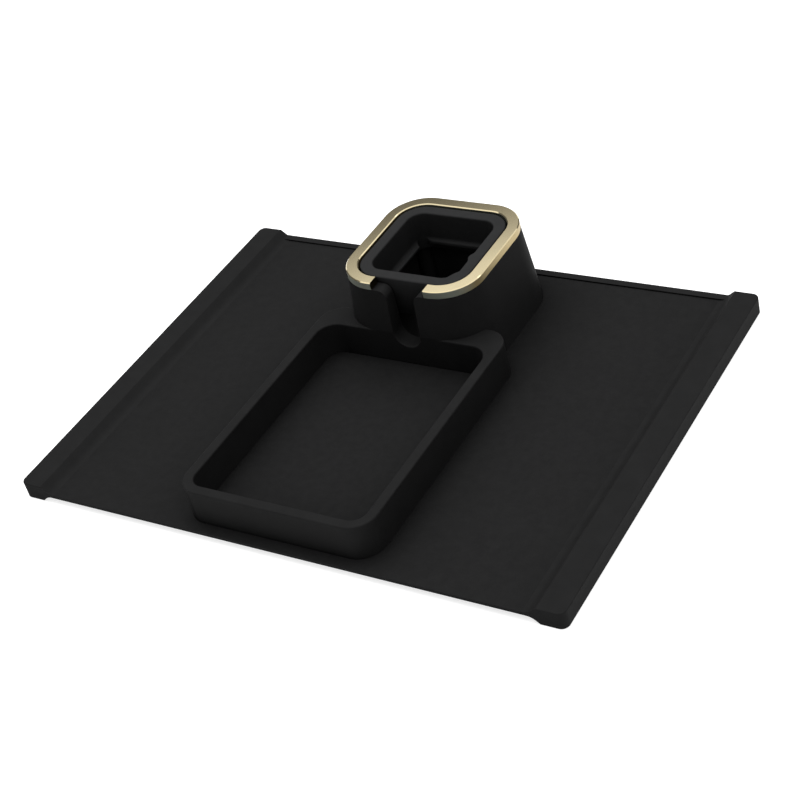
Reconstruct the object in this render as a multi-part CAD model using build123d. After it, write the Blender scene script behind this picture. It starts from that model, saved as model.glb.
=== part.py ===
from build123d import *
import math
import os

# Watch movement holder: a bench stand with side runners, a parts tray and a raised cup holder.
# Millimetres, +Z up, +Y to the back. The origin is at the centre of the footprint, on the bench.

# Plate and runners
WIDTH = 320.0
DEPTH = 240.0
PLAN_RADIUS = 4.0
RUNNER_TOP = 9.9
RUNNER_BOTTOM = 0.4
RUNNER_TOP_WIDTH = 13.9
RUNNER_BOTTOM_WIDTH = 13.0
RUNNER_EDGE_RADIUS = 0.6
SLOPE_ANGLE = 40.0
SLOPE_RADIUS = 7.0
PLATE_BOTTOM = 3.8
SEAT = 4.8
MAT_TOP = 5.6
LIP_WIDTH = 4.2
LIP_TOP = 6.4
LIP_GROOVE = 0.2
RIB_BOTTOM = 1.0
RIB_WIDTH = 1.6
RIB_LINES_X = (18.0, 72.0, 112.0)
RIB_LINES_Y = (-104.0, -52.0, -16.0, 58.0, 106.0)

# Rubber under the plate
RUNNER_PAD_WIDTH = 8.0
RUNNER_PAD_LENGTH = 220.0
RUNNER_PAD_HEIGHT = 1.2
FOOT_RADIUS = 6.0
FOOT_PLACES = ((40.0, -78.0), (40.0, 20.0), (92.0, 82.0), (92.0, -78.0))

# Parts tray
TRAY_HALF_WIDTH = 56.5
TRAY_FRONT = -113.6
TRAY_BACK = 41.3
TRAY_WALL = 5.7
TRAY_INNER_BACK = 26.4
TRAY_TOP = 25.9
TRAY_OUTER_RADIUS = 13.3
TRAY_INNER_FRONT_RADIUS = 7.5
TRAY_INNER_BACK_RADIUS = 10.5
TRAY_REAR_WALL = 6.6
TRAY_FLOOR_TOP = 5.8
TRAY_EDGE_RADIUS = 0.9
PAD_TOP = 7.0
PAD_CLEARANCE = 0.3
REST_GAP = 0.1

# Tower
TOWER_Y = 69.3
TOWER_TOP_HALF = 40.5
TOWER_TOP = 50.8
TOWER_TOP_RADIUS = 22.0
TOWER_DRAFT = 5.5
WELL_HALF = 33.5
WELL_RADIUS = 15.0
WELL_WALL = 2.5
SHELL_WALL = 3.0
CORE_TOP = 46.0
POST_OFFSET = 29.0
POST_RADIUS = 4.6

# Slot in the front of the tower
SLOT_X = 0.7
SLOT_HALF = 8.4
SLOT_BOTTOM = 17.4
SLOT_FLARE = 4.5

# Bezel ring
RING_TOP = 55.1
RING_INNER_HALF = 33.9
RING_INNER_RADIUS = 15.4
RING_GAP = 32.0
RING_BEVEL = 0.5
PIN_RADIUS = 1.0
PIN_BELOW = 4.0
PIN_ABOVE = 2.5

# Cup insert
CUP_HALF = 33.0
CUP_RADIUS = 14.5
CUP_TOP = 54.3
CUP_BOTTOM = 31.6
POCKET_HALF = 26.4
POCKET_RADIUS = 8.5
LEDGE_TOP = 36.0
LEDGE_THICKNESS = 1.4
LEDGE_WIDTH = 2.9
LEDGE_BACK_WIDTH = 1.3
LEDGE_FILLET = 2.8
LEDGE_RELIEF_RADIUS = 3.2
LEDGE_RELIEF_OFFSET = 22.6
CUP_EDGE_RADIUS = 0.7
NIB_REACH = 1.7
NIB_RADIUS = 3.5
NIB_HEIGHT = 3.0
NIB_YS = (47.0, 63.6)

# Fasteners
SCREW_RADIUS = 1.45
SCREW_HOLE_RADIUS = 1.6
SCREW_HEAD_RADIUS = 2.75
SCREW_HEAD_HEIGHT = 2.0
SCREW_LENGTH = 8.0
HEX_SOCKET = 2.0
INSERT_RADIUS = 2.1
INSERT_BORE = 1.5
INSERT_HEIGHT = 5.0
BORE_DEPTH = 7.5
TRAY_SCREW_YS = (-88.0, -30.0)
TRAY_FRONT_SCREW_X = 30.0

# Worked out from the above
HALF_W = WIDTH / 2
HALF_D = DEPTH / 2
TRAY_HALF_INNER = TRAY_HALF_WIDTH - TRAY_WALL
TRAY_INNER_FRONT = TRAY_FRONT + TRAY_WALL
WALL_MIDDLE = TRAY_HALF_WIDTH - TRAY_WALL / 2
BAND_MIDDLE = (TOWER_TOP_HALF + WELL_HALF) / 2
TOWER_SCREWS = [(sx * POST_OFFSET, TOWER_Y + sy * POST_OFFSET) for sx in (-1, 1) for sy in (-1, 1)]
TRAY_SCREWS = [(sx * WALL_MIDDLE, y) for sx in (-1, 1) for y in TRAY_SCREW_YS]
TRAY_SCREWS += [(sx * TRAY_FRONT_SCREW_X, TRAY_FRONT + TRAY_WALL / 2) for sx in (-1, 1)]


def slope_run(rise):
    """Plan length of a slope that rises by this much and ends in a tangent arc."""
    angle = math.radians(SLOPE_ANGLE)
    arc_rise = SLOPE_RADIUS * (1 - math.cos(angle))
    return SLOPE_RADIUS * math.sin(angle) + (rise - arc_rise) / math.tan(angle)


MAT_HALF = HALF_W - RUNNER_TOP_WIDTH - slope_run(RUNNER_TOP - MAT_TOP)
MAT_BACK = HALF_D - LIP_WIDTH - LIP_GROOVE


def cylinder(x, y, z0, z1, radius):
    """Upright cylinder between two heights."""
    return Pos(x, y, (z0 + z1) / 2) * Cylinder(radius, z1 - z0)


def block(x0, x1, y0, y1, z0, z1):
    """Box between two corners."""
    return Pos((x0 + x1) / 2, (y0 + y1) / 2, (z0 + z1) / 2) * Box(x1 - x0, y1 - y0, z1 - z0)


def rounded_prism(half, radius, z0, z1, taper=0.0):
    """Upright rounded square about the tower's axis, with drafted sides where asked."""
    sketch = Plane.XY.offset(z0) * Pos(0, TOWER_Y) * RectangleRounded(2 * half, 2 * half, radius)
    return extrude(sketch, amount=z1 - z0, taper=taper)


def oblong(half_x, y0, y1, front_radius, back_radius, z0, z1):
    """Upright prism of a rectangle whose front and back corners have their own radii."""
    plan = Pos(0, (y0 + y1) / 2) * Rectangle(2 * half_x, y1 - y0)
    front = plan.vertices().group_by(Axis.Y)[0]
    plan = fillet(front, front_radius)
    back = plan.vertices().group_by(Axis.Y)[-1]
    plan = fillet(back, back_radius)
    return extrude(Plane.XY.offset(z0) * plan, amount=z1 - z0)


def group(solids):
    """Several separate solids in one node."""
    return Compound(children=list(solids))


# ---------------------------------------------------------------- plate
def runner_section(side):
    """Section of a runner with its slopes, out to the flat middle, as a face in XZ."""
    top_end = RUNNER_TOP_WIDTH + slope_run(RUNNER_TOP - MAT_TOP)
    low_end = RUNNER_BOTTOM_WIDTH + slope_run(PLATE_BOTTOM - RUNNER_BOTTOM)

    def at(inward, z):
        return (side * (HALF_W - inward), z)

    def eased(end, z, up, turn):
        """Point on the hollow arc at the foot of a slope, this many degrees from its flat end."""
        angle = math.radians(turn)
        return at(end - SLOPE_RADIUS * math.sin(angle), z + up * SLOPE_RADIUS * (1 - math.cos(angle)))

    top_start, top_middle = [eased(top_end, MAT_TOP, 1, t) for t in (SLOPE_ANGLE, SLOPE_ANGLE / 2)]
    low_start, low_middle = [eased(low_end, PLATE_BOTTOM, -1, t) for t in (SLOPE_ANGLE, SLOPE_ANGLE / 2)]
    outline = [
        Line(at(0, RUNNER_BOTTOM), at(0, RUNNER_TOP)),
        Line(at(0, RUNNER_TOP), at(RUNNER_TOP_WIDTH, RUNNER_TOP)),
        Line(at(RUNNER_TOP_WIDTH, RUNNER_TOP), top_start),
        ThreePointArc(top_start, top_middle, at(top_end, MAT_TOP)),
        Line(at(top_end, MAT_TOP), at(top_end, PLATE_BOTTOM)),
        Line(at(top_end, PLATE_BOTTOM), at(low_end, PLATE_BOTTOM)),
        ThreePointArc(at(low_end, PLATE_BOTTOM), low_middle, low_start),
        Line(low_start, at(RUNNER_BOTTOM_WIDTH, RUNNER_BOTTOM)),
        Line(at(RUNNER_BOTTOM_WIDTH, RUNNER_BOTTOM), at(0, RUNNER_BOTTOM)),
    ]
    return make_face(Wire(outline))


def runner(side):
    """One side runner, the full depth of the plate, with a softened outer top edge."""
    body = extrude(Plane.XZ.offset(-HALF_D) * runner_section(side), amount=DEPTH)
    corners = body.edges().filter_by(Axis.Z).group_by(Axis.X)[0 if side < 0 else -1]
    body = fillet(corners, PLAN_RADIUS)
    rim = body.faces().sort_by(Axis.Z)[-1].outer_wire().edges()
    inner = side * (HALF_W - RUNNER_TOP_WIDTH)
    rim = [e for e in rim if abs((e @ 0.5).X - inner) > 0.01]
    return fillet(rim, RUNNER_EDGE_RADIUS)


def ribs():
    """Stiffening ribs under the thin middle of the plate."""
    reach = HALF_W - RUNNER_BOTTOM_WIDTH - slope_run(PLATE_BOTTOM - RUNNER_BOTTOM)
    half = RIB_WIDTH / 2
    y0, y1 = RIB_LINES_Y[0] - half, RIB_LINES_Y[-1] + half
    lines = [block(-reach, reach, y - half, y + half, RIB_BOTTOM, PLATE_BOTTOM) for y in RIB_LINES_Y]
    for x in RIB_LINES_X:
        for side in (-1, 1):
            lines.append(block(side * x - half, side * x + half, y0, y1, RIB_BOTTOM, PLATE_BOTTOM))
    return lines


def base_plate():
    body = block(-MAT_HALF, MAT_HALF, -HALF_D, HALF_D, PLATE_BOTTOM, SEAT)
    lip_reach = MAT_HALF + SLOPE_RADIUS / 2
    body += block(-lip_reach, lip_reach, HALF_D - LIP_WIDTH, HALF_D, PLATE_BOTTOM, LIP_TOP)
    for side in (-1, 1):
        body += runner(side)
    for rib in ribs():
        body += rib
    for x, y in TOWER_SCREWS + TRAY_SCREWS:
        body -= cylinder(x, y, RIB_BOTTOM, SEAT, SCREW_HOLE_RADIUS)
    for side in (-1, 1):
        body -= runner_pad(side)
    return body.solids()[0]


def runner_pad(side):
    """Anti-slip strip, let into the underside of a runner."""
    x = side * (HALF_W - RUNNER_BOTTOM_WIDTH / 2)
    plan = Pos(x, 0) * SlotOverall(RUNNER_PAD_LENGTH, RUNNER_PAD_WIDTH, rotation=90)
    return extrude(plan, amount=RUNNER_PAD_HEIGHT)


def support_feet():
    """Round feet under the middle, stuck to the plate."""
    feet = []
    for x, y in FOOT_PLACES:
        for side in (-1, 1):
            foot = cylinder(side * x, y, 0, PLATE_BOTTOM, FOOT_RADIUS)
            feet.append(chamfer(foot.edges().group_by(Axis.Z)[0], 0.6))
    return group(feet)


def bench_mat():
    """Flush work surface between the runners, cut out round the tray and the tower."""
    mat = block(-MAT_HALF, MAT_HALF, -HALF_D, MAT_BACK, SEAT, MAT_TOP)
    mat -= tray_outline(SEAT, MAT_TOP)
    mat -= tower_outline()
    return mat.solids()[0]


# ---------------------------------------------------------------- tray
def tray_outline(z0, z1):
    return oblong(TRAY_HALF_WIDTH, TRAY_FRONT, TRAY_BACK, TRAY_OUTER_RADIUS, TRAY_OUTER_RADIUS, z0, z1)


def tray_hollow(z0, z1, inset=0.0):
    """Inside of the tray, or of what fits in it with a clearance all round."""
    return oblong(
        TRAY_HALF_INNER - inset,
        TRAY_INNER_FRONT + inset,
        TRAY_INNER_BACK - inset,
        TRAY_INNER_FRONT_RADIUS - inset,
        TRAY_INNER_BACK_RADIUS - inset,
        z0,
        z1,
    )


def parts_tray():
    """Floor and wall of the tray. The tower stands on the rear part of the wall."""
    body = tray_outline(SEAT, TRAY_TOP) - tray_hollow(TRAY_FLOOR_TOP, TRAY_TOP)
    body = fillet(body.faces().sort_by(Axis.Z)[-1].edges(), TRAY_EDGE_RADIUS)
    body -= tower_lower(behind_tray=True)
    body += tower_land()
    body -= slot()
    for x, y in TRAY_SCREWS:
        body -= cylinder(x, y, SEAT, SEAT + BORE_DEPTH, INSERT_RADIUS)
    return body.solids().sort_by(SortBy.VOLUME)[-1]


def tower_land():
    """Sharp-edged top of the rear wall, inside the tower's outline, where the tower stands."""
    rear = block(
        -TRAY_HALF_WIDTH, TRAY_HALF_WIDTH, TRAY_INNER_BACK, TRAY_INNER_BACK + TRAY_REAR_WALL,
        TRAY_TOP - 2 * TRAY_EDGE_RADIUS, TRAY_TOP,
    )
    return rear & tower_outline()


def tray_pad():
    """Loose pad on the tray's floor."""
    pad = tray_hollow(TRAY_FLOOR_TOP + REST_GAP, PAD_TOP, PAD_CLEARANCE)
    return fillet(pad.faces().sort_by(Axis.Z)[-1].edges(), 0.4)


# ---------------------------------------------------------------- tower
def tower_outline():
    """Drafted outer form of the tower, from the plate to its top."""
    grow = (TOWER_TOP - SEAT) * math.tan(math.radians(TOWER_DRAFT))
    return rounded_prism(TOWER_TOP_HALF + grow, TOWER_TOP_RADIUS + grow, SEAT, TOWER_TOP, TOWER_DRAFT)


def tower_core():
    """Space between the outer shell and the well's own wall, open below."""
    grow = (TOWER_TOP - SEAT) * math.tan(math.radians(TOWER_DRAFT)) - SHELL_WALL
    outer = rounded_prism(TOWER_TOP_HALF + grow, TOWER_TOP_RADIUS + grow, SEAT, CORE_TOP, TOWER_DRAFT)
    inner = rounded_prism(WELL_HALF + WELL_WALL, WELL_RADIUS + WELL_WALL, SEAT, CORE_TOP)
    front = block(-HALF_W, HALF_W, -HALF_D, TRAY_BACK + SHELL_WALL, SEAT, CORE_TOP)
    return outer - inner - front


def tower_lower(behind_tray):
    """The part of the tower's outline below the tray's rim, behind the tray's rear wall or not."""
    seam = TRAY_INNER_BACK + TRAY_REAR_WALL
    if behind_tray:
        cut = block(-HALF_W, HALF_W, seam, HALF_D, SEAT, TRAY_TOP)
        return tower_outline() & cut
    cut = block(-HALF_W, HALF_W, 0, seam, SEAT, TRAY_TOP)
    return tower_outline() & cut


def slot():
    """Round-bottomed slot through the front wall, slightly right of the middle, flared at the top."""
    mouth = SLOT_HALF + SLOT_FLARE
    low = SLOT_BOTTOM + SLOT_HALF
    high = TOWER_TOP - SLOT_FLARE
    outline = [
        Line((-mouth, TOWER_TOP), (mouth, TOWER_TOP)),
        RadiusArc((mouth, TOWER_TOP), (SLOT_HALF, high), -SLOT_FLARE),
        Line((SLOT_HALF, high), (SLOT_HALF, low)),
        ThreePointArc((SLOT_HALF, low), (0, SLOT_BOTTOM), (-SLOT_HALF, low)),
        Line((-SLOT_HALF, low), (-SLOT_HALF, high)),
        RadiusArc((-SLOT_HALF, high), (-mouth, TOWER_TOP), -SLOT_FLARE),
    ]
    face = make_face(Wire(outline))
    return Pos(SLOT_X, 0) * extrude(Plane.XZ.offset(-TOWER_Y + WELL_HALF / 2) * face, amount=TOWER_Y)


def holder_tower():
    """Tower with its well, four inner posts that carry the cup, and the front slot."""
    body = tower_outline() - rounded_prism(WELL_HALF, WELL_RADIUS, SEAT, TOWER_TOP)
    body -= tower_core()
    top = CUP_BOTTOM - REST_GAP
    for x, y in TOWER_SCREWS:
        post = cylinder(x, y, SEAT, top, POST_RADIUS)
        corner_x = WELL_HALF * (1 if x > 0 else -1)
        corner_y = TOWER_Y + WELL_HALF * (1 if y > TOWER_Y else -1)
        web = block(min(x, corner_x), max(x, corner_x), min(y, corner_y), max(y, corner_y), SEAT, top)
        body += post + (web & rounded_prism(WELL_HALF, WELL_RADIUS, SEAT, top))
    body -= tower_lower(behind_tray=False)
    body -= slot()
    for x, y in TOWER_SCREWS:
        body -= cylinder(x, y, SEAT, SEAT + BORE_DEPTH, INSERT_RADIUS)
    for x, y in pin_places():
        body -= cylinder(x, y, TOWER_TOP - PIN_BELOW, TOWER_TOP, PIN_RADIUS)
    return body.solids().sort_by(SortBy.VOLUME)[-1]


# ---------------------------------------------------------------- ring and cup
def pin_places():
    """Middle of the ring's band: each side, the back, and beside the gap."""
    places = [(side * BAND_MIDDLE, TOWER_Y) for side in (-1, 1)]
    places += [(side * CUP_RADIUS, TOWER_Y + BAND_MIDDLE) for side in (-1, 1)]
    places += [(side * (RING_GAP / 2 + 3), TOWER_Y - BAND_MIDDLE) for side in (-1, 1)]
    return places


def bezel_ring():
    """C-shaped ring on the tower's top, bevelled, with a gap in the middle of its front."""
    ring = rounded_prism(TOWER_TOP_HALF, TOWER_TOP_RADIUS, TOWER_TOP, RING_TOP)
    ring -= rounded_prism(RING_INNER_HALF, RING_INNER_RADIUS, TOWER_TOP, RING_TOP)
    ring = chamfer(ring.faces().sort_by(Axis.Z)[-1].edges(), RING_BEVEL)
    ring -= block(-RING_GAP / 2, RING_GAP / 2, 0, TOWER_Y, TOWER_TOP, RING_TOP)
    for x, y in pin_places():
        ring -= cylinder(x, y, TOWER_TOP, TOWER_TOP + PIN_ABOVE, PIN_RADIUS)
    return ring.solids()[0]


def bezel_pins():
    pins = [cylinder(x, y, TOWER_TOP - PIN_BELOW, TOWER_TOP + PIN_ABOVE, PIN_RADIUS) for x, y in pin_places()]
    return group(pins)


def cup_insert():
    """Cup with a square pocket, open below, and a thin ledge that is narrower along the back."""
    body = rounded_prism(CUP_HALF, CUP_RADIUS, CUP_BOTTOM, CUP_TOP)
    pocket = rounded_prism(POCKET_HALF, POCKET_RADIUS, LEDGE_TOP, CUP_TOP)
    body -= fillet(pocket.faces().sort_by(Axis.Z)[0].edges(), LEDGE_FILLET)
    body = fillet(body.faces().sort_by(Axis.Z)[-1].edges(), CUP_EDGE_RADIUS)
    ledge_low = LEDGE_TOP - LEDGE_THICKNESS
    body -= cup_window(ledge_low, LEDGE_TOP + LEDGE_FILLET)
    body -= rounded_prism(POCKET_HALF, POCKET_RADIUS, CUP_BOTTOM, ledge_low)
    for y in NIB_YS:
        body += cup_nib(y)
    return body.solids()[0]


def cup_window(z0, z1):
    """Opening inside the ledge, with a round relief at each corner."""
    half = POCKET_HALF - LEDGE_WIDTH
    radius = POCKET_RADIUS - LEDGE_WIDTH
    back = TOWER_Y + POCKET_HALF - LEDGE_BACK_WIDTH
    window = oblong(half, TOWER_Y - half, back, radius, radius, z0, z1)
    at = LEDGE_RELIEF_OFFSET
    for sx in (-1, 1):
        for sy in (-1, 1):
            window += cylinder(sx * at, TOWER_Y + sy * at, z0, z1, LEDGE_RELIEF_RADIUS)
    return window & rounded_prism(POCKET_HALF, POCKET_RADIUS, z0, z1)


def cup_nib(y):
    """Small soft nib that stands out of the pocket's right wall, just under the rim."""
    x = POCKET_HALF + NIB_RADIUS - NIB_REACH
    top = CUP_TOP - CUP_EDGE_RADIUS
    nib = cylinder(x, y, top - NIB_HEIGHT, top, NIB_RADIUS)
    return nib & block(0, POCKET_HALF + CUP_EDGE_RADIUS, y - NIB_RADIUS, y + NIB_RADIUS, CUP_BOTTOM, CUP_TOP)


# ---------------------------------------------------------------- fasteners
def screws(places):
    """Pan-head screws from below, heads against the plate's underside."""
    made = []
    for x, y in places:
        head_low = PLATE_BOTTOM - SCREW_HEAD_HEIGHT
        head = cylinder(x, y, head_low, PLATE_BOTTOM, SCREW_HEAD_RADIUS)
        head = fillet(head.edges().group_by(Axis.Z)[0], 0.5)
        shank = cylinder(x, y, PLATE_BOTTOM, PLATE_BOTTOM + SCREW_LENGTH, SCREW_RADIUS)
        shank = chamfer(shank.edges().group_by(Axis.Z)[-1], 0.4)
        socket = Plane.XY.offset(head_low) * Pos(x, y) * RegularPolygon(HEX_SOCKET / 2, 6, major_radius=False)
        made.append(head + shank - extrude(socket, amount=SCREW_HEAD_HEIGHT * 0.6))
    return group(made)


def inserts(places):
    """Threaded brass inserts, pressed in from below."""
    made = []
    for x, y in places:
        sleeve = cylinder(x, y, SEAT, SEAT + INSERT_HEIGHT, INSERT_RADIUS)
        made.append(sleeve - cylinder(x, y, SEAT, SEAT + INSERT_HEIGHT, INSERT_BORE))
    return group(made)


NODES = {
    "base_plate": base_plate,
    "bench_mat": bench_mat,
    "runner_pad_left": lambda: runner_pad(-1),
    "runner_pad_right": lambda: runner_pad(1),
    "support_feet": support_feet,
    "parts_tray": parts_tray,
    "tray_pad": tray_pad,
    "tray_screws": lambda: screws(TRAY_SCREWS),
    "tray_inserts": lambda: inserts(TRAY_SCREWS),
    "holder_tower": holder_tower,
    "tower_screws": lambda: screws(TOWER_SCREWS),
    "tower_inserts": lambda: inserts(TOWER_SCREWS),
    "bezel_ring": bezel_ring,
    "bezel_pins": bezel_pins,
    "cup_insert": cup_insert,
}

os.makedirs("parts", exist_ok=True)
for name, make in NODES.items():
    export_step(make(), f"parts/{name}.step")
    print(name)
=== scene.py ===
import math

import bmesh
import bpy
from mathutils import Euler, Matrix, Vector

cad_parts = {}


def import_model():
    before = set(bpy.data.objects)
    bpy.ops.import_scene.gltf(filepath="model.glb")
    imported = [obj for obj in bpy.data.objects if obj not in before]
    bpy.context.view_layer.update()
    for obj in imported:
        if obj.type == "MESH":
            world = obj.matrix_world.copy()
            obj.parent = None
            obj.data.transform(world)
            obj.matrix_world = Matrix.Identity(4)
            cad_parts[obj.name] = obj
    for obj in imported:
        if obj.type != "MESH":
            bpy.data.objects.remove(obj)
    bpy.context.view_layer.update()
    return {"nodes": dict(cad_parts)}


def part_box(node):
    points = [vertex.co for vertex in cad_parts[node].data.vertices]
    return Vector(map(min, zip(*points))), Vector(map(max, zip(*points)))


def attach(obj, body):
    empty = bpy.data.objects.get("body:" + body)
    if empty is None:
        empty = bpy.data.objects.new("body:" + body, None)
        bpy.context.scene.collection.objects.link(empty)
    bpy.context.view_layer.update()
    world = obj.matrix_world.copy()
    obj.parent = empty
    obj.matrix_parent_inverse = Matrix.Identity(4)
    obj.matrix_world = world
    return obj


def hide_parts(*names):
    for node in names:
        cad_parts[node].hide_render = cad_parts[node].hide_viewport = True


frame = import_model()

MM = 0.001

# ---------------------------------------------------------------- places, from the frame
mat_lo, mat_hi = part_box("bench_mat")
tray_lo, tray_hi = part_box("parts_tray")
pad_lo, pad_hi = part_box("tray_pad")
tower_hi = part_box("holder_tower")[1]
cup_lo, cup_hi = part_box("cup_insert")
CUP_CENTRE = (cup_lo + cup_hi) / 2

# Shapes that the boxes don't give, in metres
TRAY_RADIUS = 13.3 * MM
TOWER_DRAFT = math.radians(5.5)
TOWER_TOP_HALF = 40.5 * MM
TOWER_TOP_RADIUS = 22.0 * MM
GAP_HALF = 16.0 * MM
MAT_GAP = 0.15 * MM
PAD_FRONT_RADIUS = 7.2 * MM
PAD_BACK_RADIUS = 10.2 * MM
CUP_RADIUS = 14.5 * MM
POCKET_HALF = 26.4 * MM
POCKET_RADIUS = 8.5 * MM
LEDGE_DROP = 18.3 * MM
LEDGE_WIDTH = 2.9 * MM
LEDGE_BACK_WIDTH = 1.3 * MM
LEDGE_FILLET = 2.8 * MM
LEDGE_THICKNESS = 1.4 * MM
RELIEF_OFFSET = 22.6 * MM
RELIEF_RADIUS = 3.2 * MM
NIB_REACH = 1.7 * MM
NIB_WIDTH = 3.2 * MM
NIB_YS = (47.0 * MM, 63.6 * MM)
NIB_BELOW_RIM = 1.2 * MM
NIB_HALF_HEIGHT = 2.4 * MM
FOOT_EDGE = 0.9 * MM

ARC_STEPS = 14
SIDE_STEPS = 26


# ---------------------------------------------------------------- outlines and lofts
def arc(centre, radius, start, end, steps=ARC_STEPS):
    """Points on an arc, angles in degrees."""
    points = []
    for i in range(steps + 1):
        a = math.radians(start + (end - start) * i / steps)
        points.append((centre[0] + radius * math.cos(a), centre[1] + radius * math.sin(a)))
    return points


def densified(points, parts):
    """The closed outline with each long straight side cut into equal parts."""
    out = []
    longest = max(math.dist(a, b) for a, b in zip(points, points[1:] + points[:1]))
    for a, b in zip(points, points[1:] + points[:1]):
        out.append(a)
        if math.dist(a, b) > longest * 0.3:
            for i in range(1, parts):
                out.append((a[0] + (b[0] - a[0]) * i / parts, a[1] + (b[1] - a[1]) * i / parts))
    return out


def rounded_box(half_x, y0, y1, front, back):
    """Anticlockwise outline of a rectangle with its own front and back corner radii."""
    return (
        arc((half_x - front, y0 + front), front, -90, 0)
        + arc((half_x - back, y1 - back), back, 0, 90)
        + arc((-half_x + back, y1 - back), back, 90, 180)
        + arc((-half_x + front, y0 + front), front, 180, 270)
    )


def rounded_square(half, radius, centre_y):
    return rounded_box(half, centre_y - half, centre_y + half, radius, radius)


def window_outline(half, back, centre_y):
    """Window whose corners run out into round reliefs, kept inside the pocket's own corners."""
    sides = (half, half, back, half, half)
    spreads = [math.degrees(math.asin((side - RELIEF_OFFSET) / RELIEF_RADIUS)) for side in sides]
    points = []
    for turn, (sx, sy) in enumerate(((1, -1), (1, 1), (-1, 1), (-1, -1))):
        middle = -45 + 90 * turn
        centre = (sx * RELIEF_OFFSET, centre_y + sy * RELIEF_OFFSET)
        start, end = middle - 135 + spreads[turn], middle + 135 - spreads[turn + 1]
        for x, y in arc(centre, RELIEF_RADIUS, start, end):
            over = POCKET_RADIUS * 0.995 / corner_distance(x, y, centre_y)
            if over < 1:
                flat = POCKET_HALF - POCKET_RADIUS
                x = sx * (flat + (abs(x) - flat) * over)
                y = centre_y + sy * (flat + (abs(y - centre_y) - flat) * over)
            points.append((x, y))
    return points


def corner_distance(x, y, centre_y):
    """Distance from the centre of the pocket's nearest corner arc, or from the flat beside it."""
    flat = POCKET_HALF - POCKET_RADIUS
    across, along = abs(x) - flat, abs(y - centre_y) - flat
    if across > 0 and along > 0:
        return math.hypot(across, along)
    return max(across, along, 1e-6)


def ledge_rise(x, y, centre_y):
    """Height of the hollow fillet between the pocket's wall and its ledge."""
    inward = POCKET_RADIUS - corner_distance(x, y, centre_y)
    left = min(max(LEDGE_FILLET - inward, 0.0), LEDGE_FILLET)
    return LEDGE_FILLET - math.sqrt(LEDGE_FILLET ** 2 - left ** 2)


def mesh_object(name, vertices, faces):
    mesh = bpy.data.meshes.new(name)
    mesh.from_pydata(vertices, [], faces)
    mesh.validate()
    mesh.update()
    made = bpy.data.objects.new(name, mesh)
    bpy.context.scene.collection.objects.link(made)
    return made


def smooth(obj, angle=35):
    """Smooth shading, with edges kept where the surface turns sharply."""
    for polygon in obj.data.polygons:
        polygon.use_smooth = True
    obj.data.set_sharp_from_angle(angle=math.radians(angle))
    return obj


def loft(name, rings, closed=False):
    """Skin over rings of (outline, height). A closed loft joins the last ring to the first."""
    count = len(rings[0][0])
    vertices = [(x, y, z) for outline, z in rings for x, y in outline]
    faces = []
    spans = len(rings) if closed else len(rings) - 1
    for r in range(spans):
        a, b = r * count, ((r + 1) % len(rings)) * count
        for i in range(count):
            j = (i + 1) % count
            faces.append((a + i, a + j, b + j, b + i))
    if not closed:
        faces.append(tuple(reversed(range(count))))
        faces.append(tuple(range((len(rings) - 1) * count, len(rings) * count)))
    return mesh_object(name, vertices, faces)


def recalculated(obj):
    """Normals pointing out of the closed mesh."""
    work = bmesh.new()
    work.from_mesh(obj.data)
    bmesh.ops.recalc_face_normals(work, faces=work.faces)
    work.to_mesh(obj.data)
    work.free()
    return obj


def slab(name, outlines, low, high, edge):
    """Flat slab with rounded edges, from an outer outline and its holes."""
    curve = bpy.data.curves.new(name, "CURVE")
    curve.dimensions = "2D"
    curve.fill_mode = "BOTH"
    for outline in outlines:
        spline = curve.splines.new("POLY")
        spline.points.add(len(outline) - 1)
        for point, (x, y) in zip(spline.points, outline):
            point.co = (x, y, 0, 1)
        spline.use_cyclic_u = True
    curve.extrude = (high - low) / 2 - edge
    curve.bevel_depth = edge
    curve.bevel_resolution = 3
    curve.offset = -edge
    shape = bpy.data.objects.new(name + "_curve", curve)
    bpy.context.scene.collection.objects.link(shape)
    bpy.context.view_layer.update()
    mesh = bpy.data.meshes.new_from_object(shape.evaluated_get(bpy.context.evaluated_depsgraph_get()))
    mesh.name = name
    mesh.materials.clear()
    mesh.transform(Matrix.Translation((0, 0, (low + high) / 2)))
    bpy.data.objects.remove(shape)
    made = bpy.data.objects.new(name, mesh)
    bpy.context.scene.collection.objects.link(made)
    work = bmesh.new()
    work.from_mesh(mesh)
    bmesh.ops.remove_doubles(work, verts=work.verts, dist=1e-6)
    work.to_mesh(mesh)
    work.free()
    return recalculated(made)


# ---------------------------------------------------------------- materials
def new_material(name):
    """Material with a principled shader, and its nodes at hand."""
    made = bpy.data.materials.new(name)
    made.use_nodes = True
    nodes, links = made.node_tree.nodes, made.node_tree.links
    return made, nodes, links, nodes["Principled BSDF"]


def noise(nodes, links, scale, detail=4.0, roughness=0.6, stretch=(1, 1, 1)):
    """Noise in the object's own metres. Returns its value."""
    place = nodes.new("ShaderNodeTexCoord")
    mapping = nodes.new("ShaderNodeMapping")
    mapping.inputs["Scale"].default_value = stretch
    made = nodes.new("ShaderNodeTexNoise")
    made.inputs["Scale"].default_value = scale
    made.inputs["Detail"].default_value = detail
    made.inputs["Roughness"].default_value = roughness
    links.new(place.outputs["Object"], mapping.inputs["Vector"])
    links.new(mapping.outputs["Vector"], made.inputs["Vector"])
    return made.outputs["Fac"]


def ramp(nodes, links, value, low, high, a, b):
    """A colour that goes from a to b as the value goes from low to high."""
    made = nodes.new("ShaderNodeValToRGB")
    made.color_ramp.elements[0].position = low
    made.color_ramp.elements[1].position = high
    made.color_ramp.elements[0].color = (*a, 1)
    made.color_ramp.elements[1].color = (*b, 1)
    links.new(value, made.inputs["Fac"])
    return made.outputs["Color"]


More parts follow.
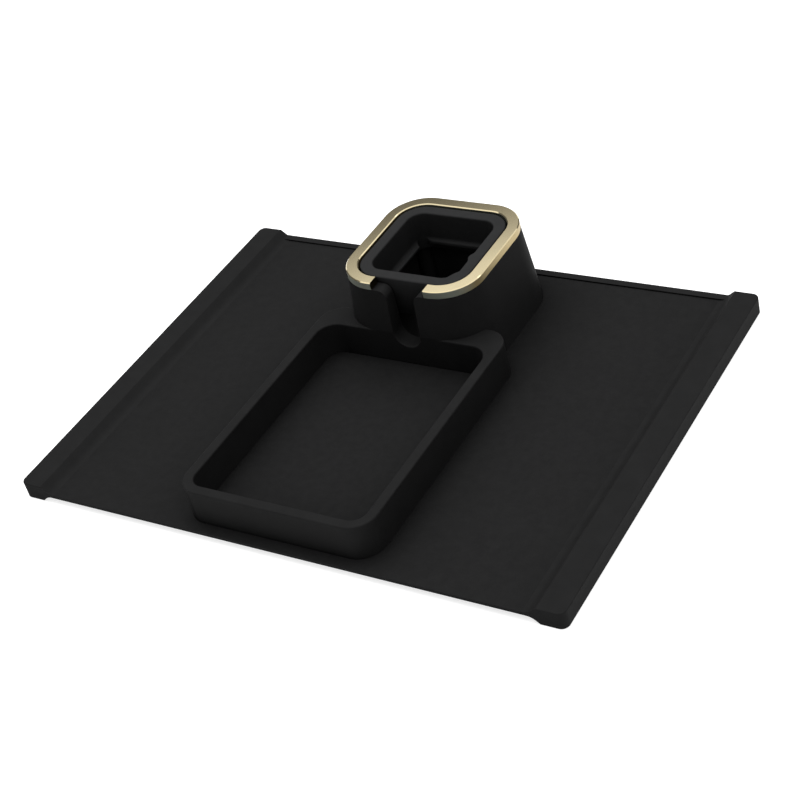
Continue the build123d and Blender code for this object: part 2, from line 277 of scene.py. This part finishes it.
def ranged(nodes, links, value, low, high):
    """The value, 0 to 1, mapped to low to high."""
    made = nodes.new("ShaderNodeMapRange")
    made.inputs["To Min"].default_value = low
    made.inputs["To Max"].default_value = high
    links.new(value, made.inputs["Value"])
    return made.outputs["Result"]


def bumped(nodes, links, height, strength, distance):
    """Normals tilted by a height."""
    made = nodes.new("ShaderNodeBump")
    made.inputs["Strength"].default_value = strength
    made.inputs["Distance"].default_value = distance
    links.new(height, made.inputs["Height"])
    return made.outputs["Normal"]


# Painted shade: stops of openness against how much of the colour is kept
EVEN_SHADE = ((0.15, 0.03), (0.42, 0.6), (1.0, 1.0))
PLATE_SHADE = ((0.3, 0.05), (0.55, 0.85), (1.0, 1.0))
MAT_SHADE = ((0.0, 0.5), (0.5, 0.76), (0.78, 0.8), (1.0, 1.0))
PAD_SHADE = ((0.0, 0.5), (0.55, 0.67), (0.7, 0.69), (0.9, 0.92), (1.0, 1.0))
CUP_SHADE = ((0.2, 0.12), (0.5, 0.68), (1.0, 1.0))
MOULDED_SPECULAR = 0.03
GRAIN_STRENGTH = 0.5
GRAIN_HEIGHT = 0.06 * MM


def moulded(
    name, dark, light, roughness, grain=1400.0, blotch=90.0,
    shade_reach=0.03, shade=EVEN_SHADE, lit_side=(1, 0, 0), painted_light_amount=1.0,
):
    """Matt moulded surface: fine grain and faint mottling, with painted shade that darkens it in recesses
    and near walls, eased by painted light on faces turned toward the lit side.
    """
    made, nodes, links, shader = new_material(name)
    fine = noise(nodes, links, grain, detail=3.0)
    broad = noise(nodes, links, blotch, detail=6.0, roughness=0.7)
    # Painted shade: ambient occlusion, mapped through the stops, darkens the colour in recesses and near
    # walls.
    painted_shade_ao = nodes.new("ShaderNodeAmbientOcclusion")
    painted_shade_ao.samples = 6
    painted_shade_ao.inputs["Distance"].default_value = shade_reach
    deep = nodes.new("ShaderNodeValToRGB")
    stops = deep.color_ramp.elements
    for at, grey in shade[1:-1]:
        stops.new(at)
    for stop, (at, grey) in zip(stops, shade):
        stop.position = at
        stop.color = (grey, grey, grey, 1)
    links.new(painted_shade_ao.outputs["AO"], deep.inputs["Fac"])
    # Painted light: faces turned toward the lit side keep more of their colour against the painted shade.
    facing = nodes.new("ShaderNodeVectorMath")
    facing.operation = "DOT_PRODUCT"
    facing.inputs[1].default_value = lit_side
    links.new(nodes.new("ShaderNodeNewGeometry").outputs["Normal"], facing.inputs[0])
    eased = ranged(nodes, links, facing.outputs["Value"], 0.0, painted_light_amount)
    shade_with_side_light = nodes.new("ShaderNodeMapRange")
    shade_with_side_light.inputs["To Max"].default_value = 1.0
    links.new(eased, shade_with_side_light.inputs["Value"])
    links.new(deep.outputs["Color"], shade_with_side_light.inputs["To Min"])
    shaded_base_colour = nodes.new("ShaderNodeVectorMath")
    shaded_base_colour.operation = "SCALE"
    links.new(ramp(nodes, links, broad, 0.35, 0.68, dark, light), shaded_base_colour.inputs[0])
    links.new(shade_with_side_light.outputs["Result"], shaded_base_colour.inputs["Scale"])
    links.new(shaded_base_colour.outputs["Vector"], shader.inputs["Base Color"])
    links.new(ranged(nodes, links, broad, roughness - 0.07, roughness + 0.07), shader.inputs["Roughness"])
    shader.inputs["Specular IOR Level"].default_value = MOULDED_SPECULAR
    links.new(bumped(nodes, links, fine, GRAIN_STRENGTH, GRAIN_HEIGHT), shader.inputs["Normal"])
    return made


def satin_gold(name):
    """Champagne-gold metal: smooth on top and on its bevels, satin on its upright sides; its colour carries
    painted light and reflection by facing, and painted shade on its cut ends.
    """
    made, nodes, links, shader = new_material(name)
    along = noise(nodes, links, 900.0, detail=2.0, stretch=(1, 1, 0.2))
    broad = noise(nodes, links, 40.0, detail=4.0)
    flat = nodes.new("ShaderNodeSeparateXYZ")
    links.new(nodes.new("ShaderNodeNewGeometry").outputs["Normal"], flat.inputs["Vector"])
    finish = nodes.new("ShaderNodeMapRange")
    finish.inputs["From Min"].default_value = 0.2
    finish.inputs["From Max"].default_value = 0.6
    finish.inputs["To Min"].default_value = 0.42
    links.new(flat.outputs["Z"], finish.inputs["Value"])
    links.new(ranged(nodes, links, along, 0.05, 0.09), finish.inputs["To Max"])
    links.new(finish.outputs["Result"], shader.inputs["Roughness"])
    # Painted light and reflection: upright faces get a darker warm tint, front-facing ones a cool bluish
    # tint, tops keep the metal's own colour.
    front = nodes.new("ShaderNodeMath")
    front.operation = "MULTIPLY"
    front.inputs[1].default_value = -1.0
    links.new(flat.outputs["Y"], front.inputs[0])
    upright = ramp(nodes, links, front.outputs["Value"], 0.3, 0.8, (0.64, 0.59, 0.48), (0.71, 0.88, 1.17))
    tint = ramp(nodes, links, flat.outputs["Z"], 0.2, 0.6, (0.0, 0.0, 0.0), (1.0, 1.0, 1.0))
    painted_facing_tint = nodes.new("ShaderNodeMix")
    painted_facing_tint.data_type = "RGBA"
    links.new(tint, painted_facing_tint.inputs["Factor"])
    links.new(upright, painted_facing_tint.inputs[6])
    painted_facing_tint.inputs[7].default_value = (1, 1, 1, 1)
    both = nodes.new("ShaderNodeVectorMath")
    both.operation = "MULTIPLY"
    links.new(ramp(nodes, links, broad, 0.3, 0.7, (0.66, 0.568, 0.358), (0.72, 0.62, 0.392)), both.inputs[0])
    links.new(painted_facing_tint.outputs[2], both.inputs[1])
    # Painted shade: the ring's two cut ends are darkened to about an eighth of their colour.
    painted_end_shade = nodes.new("ShaderNodeVectorMath")
    painted_end_shade.operation = "SCALE"
    links.new(both.outputs["Vector"], painted_end_shade.inputs[0])
    links.new(ranged(nodes, links, cut_end(nodes, links), 1.0, 0.12), painted_end_shade.inputs["Scale"])
    links.new(painted_end_shade.outputs["Vector"], shader.inputs["Base Color"])
    shader.inputs["Metallic"].default_value = 1.0
    return made


def cut_end(nodes, links):
    """Mask for the painted shade: 1 on the ring's two cut ends, which face each other across the gap, 0
    elsewhere.
    """
    place = nodes.new("ShaderNodeSeparateXYZ")
    links.new(nodes.new("ShaderNodeTexCoord").outputs["Object"], place.inputs["Vector"])
    side = nodes.new("ShaderNodeMath")
    side.operation = "ABSOLUTE"
    links.new(place.outputs["X"], side.inputs[0])
    tests = []
    for value, limit in ((side.outputs["Value"], GAP_HALF + 0.05 * MM), (place.outputs["Y"], CUP_CENTRE.y)):
        test = nodes.new("ShaderNodeMath")
        test.operation = "LESS_THAN"
        test.inputs[1].default_value = limit
        links.new(value, test.inputs[0])
        tests.append(test)
    both = nodes.new("ShaderNodeMath")
    both.operation = "MULTIPLY"
    for test, socket in zip(tests, both.inputs):
        links.new(test.outputs["Value"], socket)
    return both.outputs["Value"]


def plain_metal(name, colour, roughness):
    """Turned metal of screws and inserts."""
    made, nodes, links, shader = new_material(name)
    swirl = noise(nodes, links, 2500.0, detail=2.0)
    dark = tuple(c * 0.8 for c in colour)
    links.new(ramp(nodes, links, swirl, 0.3, 0.7, dark, colour), shader.inputs["Base Color"])
    links.new(ranged(nodes, links, swirl, roughness - 0.06, roughness + 0.06), shader.inputs["Roughness"])
    shader.inputs["Metallic"].default_value = 1.0
    return made


plastic = moulded("moulded_black", (0.0104, 0.0104, 0.0105), (0.0122, 0.0122, 0.0123), 0.62)
plate_skin = moulded(
    "plate_black", (0.0105, 0.0105, 0.0106), (0.0124, 0.0124, 0.0125), 0.62,
    shade_reach=0.06, shade=PLATE_SHADE,
)
mat_skin = moulded(
    "mat_black", (0.0098, 0.0098, 0.0099), (0.0121, 0.0121, 0.0122), 0.66,
    grain=1100.0, blotch=260.0, shade_reach=0.05, shade=MAT_SHADE,
)
pad_skin = moulded(
    "pad_black", (0.0095, 0.0095, 0.0096), (0.0119, 0.0119, 0.0120), 0.7,
    grain=1300.0, blotch=260.0, shade_reach=0.05, shade=PAD_SHADE,
)
# Painted light on the cup's upward faces, which keep more of their colour against the painted shade.
cup_skin = moulded(
    "cup_grey", (0.0178, 0.0180, 0.0183), (0.0204, 0.0206, 0.0209), 0.7,
    grain=1700.0, blotch=200.0, shade_reach=0.06, shade=CUP_SHADE,
    lit_side=(0, 0, 1), painted_light_amount=0.6,
)
foot_skin = moulded("foot_rubber", (0.008, 0.008, 0.008), (0.012, 0.012, 0.012), 0.75, grain=900.0)
gold = satin_gold("champagne_gold")
steel = plain_metal("screw_steel", (0.55, 0.56, 0.57), 0.32)
brass = plain_metal("insert_brass", (0.72, 0.52, 0.24), 0.35)

CAD_MATERIALS = {
    "base_plate": plate_skin,
    "parts_tray": plastic,
    "holder_tower": plastic,
    "bezel_ring": gold,
    "bezel_pins": steel,
    "tray_screws": steel,
    "tower_screws": steel,
    "tray_inserts": brass,
    "tower_inserts": brass,
}
for node, finish in CAD_MATERIALS.items():
    for place in frame["nodes"][node].material_slots:
        place.material = finish


def dressed(piece, finish, body, slot, *nodes):
    """Gives a new piece its finish, its body and the CAD nodes that it stands for; the slot argument is not
    used.
    """
    piece.data.materials.clear()
    piece.data.materials.append(finish)
    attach(piece, body)
    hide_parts(*nodes)
    return piece


# ---------------------------------------------------------------- bench mat
def mat_cutout():
    """Outline of the tray and the tower together, where they stand in the mat."""
    top = mat_hi.z
    grow = (tower_hi.z - top) * math.tan(TOWER_DRAFT) + MAT_GAP
    half, radius = TOWER_TOP_HALF + grow, TOWER_TOP_RADIUS + grow
    tower_y = CUP_CENTRE.y
    flat = half - radius
    tray_half = tray_hi.x + MAT_GAP
    tray_r = TRAY_RADIUS + MAT_GAP
    front, back = tray_lo.y - MAT_GAP, tray_hi.y + MAT_GAP
    meet = math.degrees(math.asin((back - (tower_y - flat)) / radius))
    return (
        arc((tray_half - tray_r, front + tray_r), tray_r, -90, 0)
        + arc((tray_half - tray_r, back - tray_r), tray_r, 0, 89)
        + arc((flat, tower_y - flat), radius, meet, 0)
        + arc((flat, tower_y + flat), radius, 0, 90)
        + arc((-flat, tower_y + flat), radius, 90, 180)
        + arc((-flat, tower_y - flat), radius, 180, 180 - meet)
        + arc((-tray_half + tray_r, back - tray_r), tray_r, 91, 180)
        + arc((-tray_half + tray_r, front + tray_r), tray_r, 180, 270)
    )


outer = rounded_box(mat_hi.x, mat_lo.y, mat_hi.y, 0.3 * MM, 0.3 * MM)
mat_piece = smooth(slab("bench_mat_sheet", [outer, mat_cutout()], mat_lo.z, mat_hi.z, 0.03 * MM))
dressed(mat_piece, mat_skin, "stand", "mat_rubber", "bench_mat")


# ---------------------------------------------------------------- tray pad
def pad_ring(inset, height):
    """Outline of the pad drawn in by an inset, at a height."""
    outline = rounded_box(
        pad_hi.x - inset,
        pad_lo.y + inset,
        pad_hi.y - inset,
        max(PAD_FRONT_RADIUS - inset, 0.5 * MM),
        max(PAD_BACK_RADIUS - inset, 0.5 * MM),
    )
    return outline, height


def tray_pad():
    """Thin loose pad, rounded over at its edge and very slightly crowned."""
    edge, crown = 0.45 * MM, 0.12 * MM
    rings = [pad_ring(0.1 * MM, pad_lo.z), pad_ring(0, pad_lo.z + 0.1 * MM)]
    low = pad_hi.z - crown - edge
    for i in range(6):
        a = math.radians(90 * i / 5)
        rings.append(pad_ring(edge * (1 - math.cos(a)), low + edge * math.sin(a)))
    for share in (0.1, 0.25, 0.45, 0.7, 0.95):
        inset = edge + share * (pad_hi.x - 2 * edge)
        rings.append(pad_ring(inset, pad_hi.z - crown * (1 - share) ** 2))
    return smooth(recalculated(loft("tray_pad_soft", rings)))


pad_piece = dressed(tray_pad(), pad_skin, "pad", "pad_rubber", "tray_pad")


# ---------------------------------------------------------------- cup
def nib_push(x, y, z):
    """How far the pocket's right wall stands in at a point, at one of the two nibs."""
    if x < POCKET_HALF - POCKET_RADIUS:
        return 0.0
    top = cup_hi.z
    down = max(0.0, 1 - ((top - NIB_BELOW_RIM - z) / NIB_HALF_HEIGHT) ** 2) if z < top else 0.0
    push = 0.0
    for nib in NIB_YS:
        off = (y - nib) / NIB_WIDTH
        push = max(push, max(0.0, 1 - off * off) * down)
    return NIB_REACH * push


def cup_piece():
    """Soft cup: rounded rim, square pocket, ledge with corner reliefs and the window."""
    y = CUP_CENTRE.y
    half = cup_hi.x
    rim, small = 0.9 * MM, 0.35 * MM
    low, top, ledge = cup_lo.z, cup_hi.z, cup_hi.z - LEDGE_DROP
    window, back = POCKET_HALF - LEDGE_WIDTH, POCKET_HALF - LEDGE_BACK_WIDTH
    rings = []

    def add(outline, height):
        rings.append((densified(outline, SIDE_STEPS), height))

    add(rounded_square(half - small, CUP_RADIUS - small, y), low)
    add(rounded_square(half, CUP_RADIUS, y), low + small)
    for i in range(7):
        a = math.radians(90 * i / 6)
        inset = rim * (1 - math.cos(a))
        add(rounded_square(half - inset, CUP_RADIUS - inset, y), top - rim + rim * math.sin(a))
    for i in range(7):
        a = math.radians(90 - 90 * i / 6)
        grow = rim * (1 - math.cos(a))
        add(rounded_square(POCKET_HALF + grow, POCKET_RADIUS + grow, y), top - rim + rim * math.sin(a))
    for i in range(1, 8):
        add(rounded_square(POCKET_HALF, POCKET_RADIUS, y), top - rim - i * 0.55 * MM)
    wall = rounded_square(POCKET_HALF, POCKET_RADIUS, y)
    lip = window_outline(window + small, back + small, y)
    for share in (0.0, 0.03, 0.1, 0.22, 0.4, 0.6, 0.8, 1.0):
        add([(a[0] + (b[0] - a[0]) * share, a[1] + (b[1] - a[1]) * share) for a, b in zip(wall, lip)], ledge)
    add(window_outline(window + small * 0.3, back + small * 0.3, y), ledge - small * 0.3)
    under = ledge - LEDGE_THICKNESS
    add(window_outline(window, back, y), ledge - small)
    add(window_outline(window, back, y), under)
    add(wall, under)
    add(wall, low)
    made = loft("cup_soft", rings, closed=True)
    for vertex in made.data.vertices:
        at = vertex.co
        if at.x < half - 3 * MM:
            at.x -= nib_push(at.x, at.y, at.z)
        if ledge - small * 1.1 < at.z < ledge + small:
            at.z += ledge_rise(at.x, at.y, y)
    return smooth(recalculated(made), 50)


cup = dressed(cup_piece(), cup_skin, "cup", "cup_rubber", "cup_insert")


# ---------------------------------------------------------------- rubber under the plate
RIDGE_PITCH = 4.0 * MM
RIDGE_WIDTH = 2.2 * MM
RIDGE_HEIGHT = 0.35 * MM


def runner_strip(side):
    """Anti-slip strip with cross ridges that stand on the bench."""
    node = f"runner_pad_{side}"
    low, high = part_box(node)
    half = (high.x - low.x) / 2
    middle = (high.x + low.x) / 2
    outline = [(x + middle, y) for x, y in rounded_box(half, low.y, high.y, half * 0.98, half * 0.98)]
    strip = slab(node + "_strip", [outline], low.z + RIDGE_HEIGHT, high.z, 0.1 * MM)
    work = bmesh.new()
    work.from_mesh(strip.data)
    count = int((high.y - low.y - 2 * half) / RIDGE_PITCH)
    for i in range(count + 1):
        y = (i - count / 2) * RIDGE_PITCH
        place = Matrix.Translation((middle, y, low.z + RIDGE_HEIGHT * 0.75))
        size = Matrix.Diagonal((2 * half - 1.6 * MM, RIDGE_WIDTH, RIDGE_HEIGHT * 1.5, 1))
        ridge = bmesh.ops.create_cube(work, size=1.0, matrix=place @ size)
        edges = {e for v in ridge["verts"] for e in v.link_edges}
        bmesh.ops.bevel(work, geom=list(edges), offset=0.12 * MM, segments=2, profile=0.5, affect="EDGES")
    work.to_mesh(strip.data)
    work.free()
    return dressed(smooth(strip), foot_skin, "stand", "foot_rubber", node)


for side in ("left", "right"):
    runner_strip(side)


def feet_centres():
    """Centres of the feet, from the CAD node's loose parts."""
    work = bmesh.new()
    work.from_mesh(frame["nodes"]["support_feet"].data)
    bmesh.ops.remove_doubles(work, verts=work.verts, dist=1e-6)
    left = set(work.verts)
    centres = []
    while left:
        stack = [left.pop()]
        part = list(stack)
        while stack:
            for edge in stack.pop().link_edges:
                for vertex in edge.verts:
                    if vertex in left:
                        left.discard(vertex)
                        stack.append(vertex)
                        part.append(vertex)
        xs, ys = [v.co.x for v in part], [v.co.y for v in part]
        centres.append(((min(xs) + max(xs)) / 2, (min(ys) + max(ys)) / 2, (max(xs) - min(xs)) / 2))
    work.free()
    return sorted(centres)


def support_feet():
    """Domed rubber feet with a shallow dimple underneath."""
    low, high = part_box("support_feet")
    vertices, faces = [], []
    around = 40
    for x, y, radius in feet_centres():
        profile = [(radius, high.z), (radius, low.z + FOOT_EDGE)]
        for i in range(1, 6):
            a = math.radians(90 * i / 5)
            inset, rise = FOOT_EDGE * (1 - math.cos(a)), FOOT_EDGE * (1 - math.sin(a))
            profile.append((radius - inset, low.z + rise))
        dimple = ((0.55, 0.0), (0.45, 0.4 * MM), (0.1, 0.6 * MM))
        profile += [(radius * share, low.z + rise) for share, rise in dimple]
        first = len(vertices)
        for r, z in profile:
            for k in range(around):
                a = 2 * math.pi * k / around
                vertices.append((x + r * math.cos(a), y + r * math.sin(a), z))
        for row in range(len(profile) - 1):
            a, b = first + row * around, first + (row + 1) * around
            faces += [(a + k, a + (k + 1) % around, b + (k + 1) % around, b + k) for k in range(around)]
        faces.append(tuple(first + k for k in range(around)))
        faces.append(tuple(first + (len(profile) - 1) * around + k for k in range(around)))
    return smooth(recalculated(mesh_object("support_feet_soft", vertices, faces)))


dressed(support_feet(), foot_skin, "stand", "foot_rubber", "support_feet")


# ---------------------------------------------------------------- floor, lights, camera
FLOOR_GREYS = ((0.45, 0.45, 0.45), (0.47, 0.47, 0.47))
FLOOR_GLOW = 0.72
FLOOR_HALF = 6.0


def floor():
    """Plain pale floor whose own glow keeps the shadow on it faint."""
    made, nodes, links, shader = new_material("pale_floor")
    faint = noise(nodes, links, 3.0, detail=2.0)
    links.new(ramp(nodes, links, faint, 0.3, 0.7, *FLOOR_GREYS), shader.inputs["Base Color"])
    shader.inputs["Roughness"].default_value = 0.9
    shader.inputs["Specular IOR Level"].default_value = 0.1
    shader.inputs["Emission Color"].default_value = (1, 1, 1, 1)
    shader.inputs["Emission Strength"].default_value = FLOOR_GLOW
    size = FLOOR_HALF
    plane = mesh_object(
        "floor",
        [(-size, -size, 0), (size, -size, 0), (size, size, 0), (-size, size, 0)],
        [(0, 1, 2, 3)],
    )
    plane.data.materials.append(made)


LIGHT_AIM = Vector((0, 0, 0.02))

# Place, size, power, and the rays that don't see the light
LIGHTS = {
    "overhead": ((-0.25, 0.15, 1.58), (1.2, 1.2), 25.5, "visible_glossy"),
    "back_right_strip": ((1.0, 1.04, 0.84), (1.2, 0.5), 1.7, "visible_diffuse"),
    "right_fill": ((1.2, 0.1, 0.3), (0.8, 0.4), 1.2, "visible_glossy"),
}


def soft_light(name, place, size, power, unseen):
    """White area light aimed at the object, hidden from one kind of ray."""
    data = bpy.data.lights.new(name, "AREA")
    data.shape = "RECTANGLE"
    data.size, data.size_y = size
    data.energy = power
    light = bpy.data.objects.new(name, data)
    light.location = place
    light.rotation_euler = (LIGHT_AIM - Vector(place)).to_track_quat("-Z", "Y").to_euler()
    setattr(light, unseen, False)
    bpy.context.scene.collection.objects.link(light)


SKY_HALF_ANGLE = 57.05
SKY_SOFT_ANGLE = 1.8
SKY_STRENGTH = 1.3
ROOM_STRENGTH = 0.18


def world():
    """Large round overhead light with a soft edge, in a dimmer room."""
    made = bpy.data.worlds.new("studio")
    made.use_nodes = True
    nodes, links = made.node_tree.nodes, made.node_tree.links
    place = nodes.new("ShaderNodeTexCoord")
    toward = nodes.new("ShaderNodeVectorMath")
    toward.operation = "DOT_PRODUCT"
    toward.inputs[1].default_value = (0, 0, 1)
    links.new(place.outputs["Generated"], toward.inputs[0])
    edge = nodes.new("ShaderNodeMapRange")
    edge.interpolation_type = "SMOOTHSTEP"
    edge.inputs["From Min"].default_value = math.cos(math.radians(SKY_HALF_ANGLE + SKY_SOFT_ANGLE))
    edge.inputs["From Max"].default_value = math.cos(math.radians(SKY_HALF_ANGLE - SKY_SOFT_ANGLE))
    edge.inputs["To Min"].default_value = ROOM_STRENGTH
    edge.inputs["To Max"].default_value = SKY_STRENGTH
    links.new(toward.outputs["Value"], edge.inputs["Value"])
    back = nodes["Background"]
    back.inputs["Color"].default_value = (1, 1, 1, 1)
    links.new(edge.outputs["Result"], back.inputs["Strength"])
    bpy.context.scene.world = made


CAMERA_PLACE = Vector((0.476, -0.5735, 0.5652))
CAMERA_HEADING = 39.33
CAMERA_DIP = 37.14
CAMERA_ROLL = -15.74
CAMERA_LENS = 79.95


def camera():
    data = bpy.data.cameras.new("camera")
    data.lens = CAMERA_LENS
    data.sensor_width = 36.0
    data.clip_start, data.clip_end = 0.02, 50.0
    made = bpy.data.objects.new("camera", data)
    look = Euler((math.radians(90 - CAMERA_DIP), 0, math.radians(CAMERA_HEADING)))
    made.matrix_world = (
        Matrix.Translation(CAMERA_PLACE)
        @ look.to_matrix().to_4x4()
        @ Matrix.Rotation(math.radians(CAMERA_ROLL), 4, "Z")
    )
    bpy.context.scene.collection.objects.link(made)
    bpy.context.scene.camera = made


floor()
world()
for name, settings in LIGHTS.items():
    soft_light(name, *settings)
camera()
bpy.context.scene.view_settings.view_transform = "Standard"
